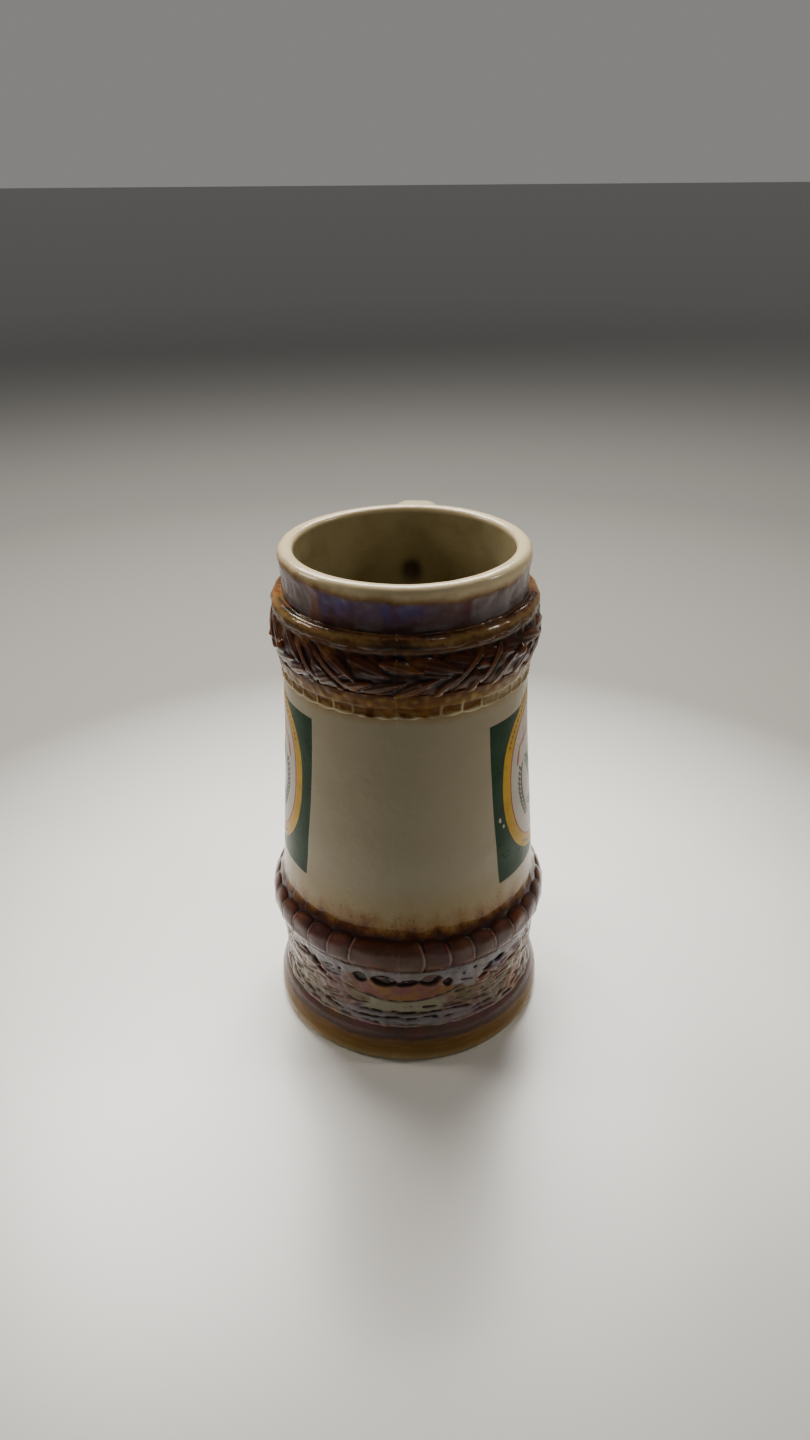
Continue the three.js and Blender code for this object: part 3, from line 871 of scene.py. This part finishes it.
def make_handle():
    line = spline(HANDLE_LINE, 1.0)
    step = np.gradient(line, axis=0)
    step /= np.linalg.norm(step, axis=1)[:, None]
    outward = np.stack([-step[:, 1], step[:, 0]], axis=1)  # out of the loop, in the plane of Y and Z
    run = run_along(line)
    root = np.exp(-np.clip(np.minimum(run, run[-1] - run) - 3, 0, None) / 3.0)
    waist = np.sin(math.pi * run / run[-1])
    wide = HANDLE_WIDE * (1 - 0.06 * waist) * (1 + 0.16 * root)
    thick = HANDLE_THICK * (1 - 0.05 * waist) * (1 + 0.30 * root)
    turn = np.linspace(0, TAU, 72, endpoint=False)
    side, out = superellipse(turn, 1, 1, 2 / 0.86).T
    groove = peak(side, 0.42) * (out > 0)
    lift = thick[:, None] * (out - 0.09 * groove * ease(out / 0.6))[None, :]
    lift = lift + (0.10 * np.sin(run / 9.0) + 0.05 * np.sin(run / 3.7 + 1))[:, None] * out[None, :]
    behind, height = (line[:, i, None] + outward[:, i, None] * lift for i in (0, 1))
    points = np.stack([wide[:, None] * side[None, :], behind, height], axis=-1) * MM
    rows, around = points.shape[:2]
    faces = [face[::-1] for face in grid_faces(rows, around, False, True)]
    verts = np.vstack([points.reshape(-1, 3), points[0].mean(0), points[-1].mean(0)])
    first, end = rows * around, (rows - 1) * around
    for k in range(around):
        k2 = (k + 1) % around
        faces += [[k2, k, first], [end + k, end + k2, first + 1]]
    cavity = 0.35 * np.abs(side)[None, :] ** 4 - 0.28 * groove[None, :] - 0.9 * root[:, None] ** 2
    layers = {"cavity": np.append(cavity.ravel(), [0, 0])}
    new_piece("stein_handle", verts, faces, [handle_glaze()], "handle", layers)


def handle_glaze():
    s = Shader("handle_glaze")
    sunk = s.plus(s.times(s.attribute("cavity"), -1.0), s.sway(1.0, 7, 31, 4))
    s.colour = s.mix(s.between(s.noise(10, 32, 3), 0.3, 0.7), (0.52, 0.445, 0.30), (0.44, 0.375, 0.245))
    s.cover(s.between(sunk, 0.30, 0.9), (0.34, 0.21, 0.07))
    s.cover(s.between(sunk, 0.60, 1.15), (0.09, 0.035, 0.010))
    s.cover(s.times(s.between(s.noise(0.9, 11, 2), 0.76, 0.81), 0.5), (0.16, 0.08, 0.03))
    rough = s.plus(0.13, s.times(s.noise(6, 12, 3), 0.14))
    bumps = [(s.noise(5.5, 15, 2), 0.16), (s.noise(1.3, 16, 3), 0.035)]
    return s.finish(s.colour, rough, bumps, coat=0.08, specular=0.3)


# ---- Labels ----

INKS = {
    "label_green": (0.015, 0.052, 0.021),
    "label_ochre": (0.60, 0.345, 0.008),
    "label_red": (0.40, 0.04, 0.02),
    "label_white": (0.52, 0.46, 0.385),
    "label_motif": (0.055, 0.085, 0.062),
    "label_umber": (0.10, 0.045, 0.02),
}
GREEN, OCHRE, RED, WHITE, MOTIF, UMBER = range(len(INKS))
# The under and upper face of each printed layer, in mm over the barrel.
GROUND, RING, LINE, PANEL, BEADS = (-0.05, 0.07), (0.03, 0.10), (0.06, 0.12), (0.08, 0.135), (0.07, 0.125)
RIBBON, STEM, GRAIN, LEAVES, KNOT = (0.10, 0.16), (0.10, 0.165), (0.10, 0.17), (0.10, 0.168), (0.11, 0.18)
CHIP = (0.03, 0.09)
UPRIGHT = math.pi / 2


def superellipse(turn, half_wide, half_tall, power):
    c, s = np.cos(turn), np.sin(turn)
    x, z = np.sign(c) * np.abs(c) ** (2 / power), np.sign(s) * np.abs(s) ** (2 / power)
    return np.stack([half_wide * x, half_tall * z], axis=1)


def direction(tilt):
    return np.array([math.cos(tilt), math.sin(tilt)])


class Label:
    """Closed flat shapes, with x to the right and z up on the label, wrapped on the barrel and stacked."""

    def __init__(self, centre, facing):
        self.centre, self.facing = centre, facing
        self.points, self.faces, self.slots = [], [], []
        self.count = 0

    def wrap(self, flat, over):
        height = flat[:, 1] + self.centre
        angle = self.facing + flat[:, 0] / wall(height)
        return on_cup(wall(height) + hand_made(angle, height) + over, angle, height)

    def shell(self, flat, quads, rim, slot, layer):
        """Top and bottom sheets of the same outline, joined round rim, a closed loop of point numbers."""
        n, first = len(flat), self.count
        faces = [[first + i for i in q] for q in quads]
        faces += [[first + n + i for i in reversed(q)] for q in quads]
        for i, j in zip(rim, rim[1:] + rim[:1]):
            faces.append([first + j, first + i, first + n + i, first + n + j])
        self.points += [self.wrap(flat, layer[1]), self.wrap(flat, layer[0])]
        self.faces += faces
        self.slots += [slot] * len(faces)
        self.count += 2 * n

    def sheet(self, width, tall, columns, rows, slot, layer):
        x = np.linspace(-width / 2, width / 2, columns + 1)
        z = np.linspace(-tall / 2, tall / 2, rows + 1)
        flat = np.array([(a, b) for a in x for b in z])
        up = rows + 1
        rim = [c * up for c in range(columns + 1)] + [columns * up + r for r in range(1, rows + 1)]
        rim += [c * up + rows for c in range(columns - 1, -1, -1)] + list(range(rows - 1, 0, -1))
        self.shell(flat, grid_faces(columns + 1, up, False, False), rim, slot, layer)

    def oval(self, half_wide, half_tall, power, slot, layer):
        """A filled superellipse."""
        rings, around = 14, 160
        edge = superellipse(np.linspace(0, TAU, around, endpoint=False), half_wide, half_tall, power)
        flat = np.vstack([edge * k / rings for k in range(rings, 0, -1)] + [np.zeros((1, 2))])
        quads = [quad[::-1] for quad in grid_faces(rings, around, False, True)]
        centre, inner = rings * around, (rings - 1) * around
        quads += [[inner + k, inner + (k + 1) % around, centre] for k in range(around)]
        self.shell(flat, quads, list(range(around)), slot, layer)

    def blot(self, outline, slot, layer):
        """A small filled outline, fanned from its middle."""
        outline = np.asarray(outline, float)
        n = len(outline)
        flat = np.vstack([outline, outline.mean(0)])
        self.shell(flat, [[k, (k + 1) % n, n] for k in range(n)], list(range(n)), slot, layer)

    def grain(self, x, z, length, width, tilt, slot, layer, sides=12):
        turn = np.linspace(0, TAU, sides, endpoint=False)
        a = length / 2 * np.cos(turn)
        b = width / 2 * np.sin(turn) * (1 - 0.25 * np.cos(turn))
        c, s = direction(tilt)
        self.blot(np.stack([x + a * c - b * s, z + a * s + b * c], axis=1), slot, layer)


def print_beads(label):
    """Plain beads along the top and the foot of the ochre ring."""
    ring = superellipse(np.linspace(0, TAU, 721), 25.7, 26.9, 2.43)
    run = run_along(ring)
    count = 96
    for k in range(count):
        share = (k + 0.5) / count
        if abs(share - 0.25) > 0.165 and abs(share - 0.75) > 0.10:
            continue
        here, there = ([np.interp(share * run[-1] + on, run, ring[:, i]) for i in (0, 1)] for on in (0, 0.1))
        tilt = math.atan2(there[1] - here[1], there[0] - here[0])
        label.grain(*here, 1.15, 0.62, tilt, UMBER, BEADS, 8)


def print_ribbon(label):
    """A plain red ribbon over the panel, with two curled ends."""
    bow = np.linspace(-1, 1, 25)
    n = len(bow)
    rim = list(range(n)) + list(range(2 * n - 1, n - 1, -1))
    quads = [[k, k + 1, n + k + 1, n + k] for k in range(n - 1)]
    for rise, reach, deep in ((12.2, 17.0, 1.5), (15.6, 13.0, 0.5)):
        arch = np.stack([bow * reach, rise + 3.0 * (1 - bow**2)], axis=1)
        fold = np.stack([0 * bow, deep * (0.75 + 0.25 * np.cos(3 * math.pi * bow))], axis=1)
        label.shell(np.vstack([arch - fold / 2, arch + fold / 2]), quads, rim, RED, RIBBON)
    for turn in (-1, 1):
        label.grain(turn * 17.6, 9.4, 6.4, 1.5, UPRIGHT + turn * 0.35, RED, RIBBON, 14)


def print_side_ears(label):
    """An ear of barley climbs either side of the panel."""
    for turn in (-1, 1):
        for k in range(11):
            x, z = turn * (11.5 + 5.2 * math.sin(0.35 + k * 0.19)), -13.0 + 1.75 * k
            for side in (-1, 1):
                label.grain(x + side * 0.95, z, 2.7, 1.15, UPRIGHT - side * 0.5 - turn * 0.1, MOTIF, GRAIN)


def print_sheaf(label):
    """Three ears of barley tied in a sheaf, with awns, over two leaves."""
    base = np.array([0.0, -9.0])
    for lean in (-0.62, 0.0, 0.62):
        up, across = direction(UPRIGHT - lean), direction(-lean)
        long = 12.0 if lean else 14.5
        neck, foot, tie = base + long * 0.52 * up, 0.35 * across, 0.3 * across
        label.blot([base - foot, base + foot, neck + tie, neck - tie], MOTIF, STEM)
        for k in range(7):
            for turn in (-1, 1):
                at = base + up * (long * 0.5 + 1.75 * k) + across * turn * (1.15 - 0.05 * k)
                tilt = UPRIGHT - lean - turn * 0.42
                label.grain(*at, 2.9, 1.25, tilt, MOTIF, GRAIN)
                tip = at + 1.2 * direction(tilt)
                side = 0.13 * direction(tilt + UPRIGHT)
                label.blot([tip - side, tip + 4.6 * direction(tilt + turn * 0.14), tip + side], MOTIF, RIBBON)
        label.grain(*(base + up * (long * 0.5 + 12.4)), 3.0, 1.3, UPRIGHT - lean, MOTIF, GRAIN)
    label.grain(0, -8.2, 5.2, 1.7, 0.0, MOTIF, KNOT, 16)
    for turn, tilt in ((-1, math.pi - 0.35), (1, 0.35)):
        label.grain(turn * 2.6, -11.2, 6.2, 1.5, -UPRIGHT + turn * 0.5, MOTIF, GRAIN, 14)
        label.grain(turn * 7.2, -12.0, 9.0, 3.0, tilt, MOTIF, LEAVES, 18)


def make_label(name, node, facing, drop, twist, chips, inks):
    """drop is how far the label sits low, and twist how far it is turned from square."""
    low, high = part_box(node)
    bottom, top = low.z / MM, high.z / MM
    wide = 64.6
    label = Label((bottom + top) / 2 - drop, facing + twist)
    label.sheet(wide, top - bottom, 44, 30, GREEN, GROUND)
    for outline, scale, off in chips:
        label.blot(np.array(outline) * scale + off + (-wide / 2, 0), WHITE, CHIP)
    label.centre += 2.3  # the oval sits above the label's middle
    label.oval(27.6, 28.6, 2.45, OCHRE, RING)
    label.oval(23.6, 24.9, 2.4, RED, LINE)
    label.oval(23.1, 24.4, 2.4, WHITE, PANEL)
    for draw in (print_beads, print_ribbon, print_side_ears, print_sheaf):
        draw(label)
    points = np.vstack(label.points)
    new_piece(name, points, label.faces, inks, node, face_material=label.slots, crisp=True)


# Chips in the right label show the white body: outline, scale, and place from the label's near edge.
CHIPS = [
    ([(0, -0.7), (0.55, -0.35), (0.5, 0.5), (0.05, 0.9), (-0.45, 0.3)], 1.25, (2.4, -5.8)),
    ([(0, -0.6), (0.6, 0.0), (0.4, 0.8), (-0.25, 0.85), (-0.4, 0.1)], 1.05, (3.9, -8.6)),
]


# ---- Build the stein ----


def make_stein():
    make_cup()
    relief_band("wreath_relief", *WREATH, 1200, 72, wreath, wreath_paint, "wreath_band", "dark_brown_glaze",
                broad=1.5, gain=1.5, gloss=0.17)
    relief_band("dentil_relief", 124.6, 133.6, 1300, 44, dentil, dentil_paint, "dentil_band", "honey_glaze",
                depth=1.2, broad=2.2, gain=2.2, gloss=0.08)
    relief_band("gadroon_relief", *GADROON, 1140, 76, gadroon, gadroon_paint, "gadroon_band",
                "red_brown_lustre", settle=3.0)
    relief_band("frieze_relief", *FRIEZE, 1080, 82, frieze, frieze_paint, "frieze_band", "lustre_glaze",
                broad=1.2, gain=1.55, gloss=0.22)
    make_handle()
    inks = [ink(name, colour, 0.05 if name == "label_white" else 0.12) for name, colour in INKS.items()]
    make_label("label_left", "left_label", -math.pi / 2, -0.4, -0.028, [], inks)
    make_label("label_right", "right_label", math.pi / 2, 1.4, 0.035, CHIPS, inks)


# ---- Floor, lights and camera ----

# Brightness of the floor, by distance from the stein in units of 2 m. It is brightest close round the stein,
# painted light that lifts the stein's contact shadow, then darker, then pale again far off.
FLOOR = [
    (0.045, (0.90, 0.885, 0.85)), (0.07, (0.80, 0.785, 0.75)), (0.13, (0.27, 0.262, 0.242)),
    (0.3, (0.24, 0.233, 0.217)), (0.9, (0.75, 0.73, 0.70)),
]
SKY = [(0.10, 0.235), (0.30, 0.06)]
# Name, place, aim, width, height, watts and colour.
LIGHTS = [
    ("key_top_back", (-0.08, 0.40, 0.62), (0, 0.0, 0.03), 0.62, 0.28, 13.0, (1.0, 0.97, 0.92)),
    ("side_left", (-0.50, 0.03, 0.42), (0, 0, 0.09), 0.12, 0.10, 0.85, (1.0, 0.93, 0.82)),
    ("side_right", (0.50, 0.03, 0.42), (0, 0, 0.09), 0.07, 0.10, 0.6, (1.0, 0.93, 0.82)),
    ("spark", (0.30, -0.36, 0.78), (0, 0, 0.08), 0.04, 0.04, 0.22, (1.0, 0.95, 0.88)),
]


def floor_material():
    s = Shader("studio_floor")
    reach = s.node("VectorMath", {0: s.place}, operation="LENGTH").outputs["Value"]
    return s.finish(s.ramp(s.times(reach, 0.5), FLOOR), 0.28, specular=0.4)


def make_floor():
    mesh = bpy.data.meshes.new("studio_floor")
    corners = [(-6, -6, 0), (6, -6, 0), (6, 6, 0), (-6, 6, 0)]
    mesh.from_pydata(corners, [], [(0, 1, 2, 3)])
    mesh.materials.append(floor_material())
    link("studio_floor", mesh)


def make_lights():
    for name, place, aim, wide, tall, power, colour in LIGHTS:
        data = bpy.data.lights.new(name, "AREA")
        data.shape, data.size, data.size_y, data.energy, data.color = "RECTANGLE", wide, tall, power, colour
        light = link(name, data)
        light.location = place
        light.rotation_euler = (Vector(aim) - Vector(place)).to_track_quat("-Z", "Y").to_euler()
    world = bpy.data.worlds.new("studio")
    bpy.context.scene.world = world
    world.use_nodes = True
    tree = world.node_tree
    kinds = ("TexCoord", "SeparateXYZ", "ValToRGB")
    aim, split, sky = (tree.nodes.new("ShaderNode" + kind) for kind in kinds)
    tree.links.new(aim.outputs["Generated"], split.inputs[0])
    tree.links.new(split.outputs["Z"], sky.inputs[0])
    tree.links.new(sky.outputs[0], tree.nodes["Background"].inputs[0])
    for element, (place, value) in zip(sky.color_ramp.elements, SKY):
        element.position = place
        element.color = (value, value * 0.985, value * 0.95, 1)


def make_camera():
    """Stands 28 degrees above the stein, turned 4 degrees round towards +X."""
    azimuth, pitch, roll = math.radians(4.0), math.radians(28.41), math.radians(0.66)
    away, above, aside = 1.896 * HEIGHT * MM, 1.659 * HEIGHT * MM, -0.45 * MM
    data = bpy.data.cameras.new("camera")
    data.sensor_fit, data.sensor_width, data.lens = "AUTO", 36.0, 27.5
    data.clip_start, data.clip_end = 0.01, 20
    camera = link("camera", data)
    stand = Matrix.Rotation(azimuth, 4, "Z") @ Matrix.Translation((0, -away, above))
    look = Matrix.Rotation(math.pi / 2 - pitch, 4, "X") @ Matrix.Rotation(-roll, 4, "Z")
    camera.matrix_world = stand @ look @ Matrix.Translation((aside, 0, 0))
    bpy.context.scene.camera = camera


make_stein()
make_floor()
make_lights()
make_camera()
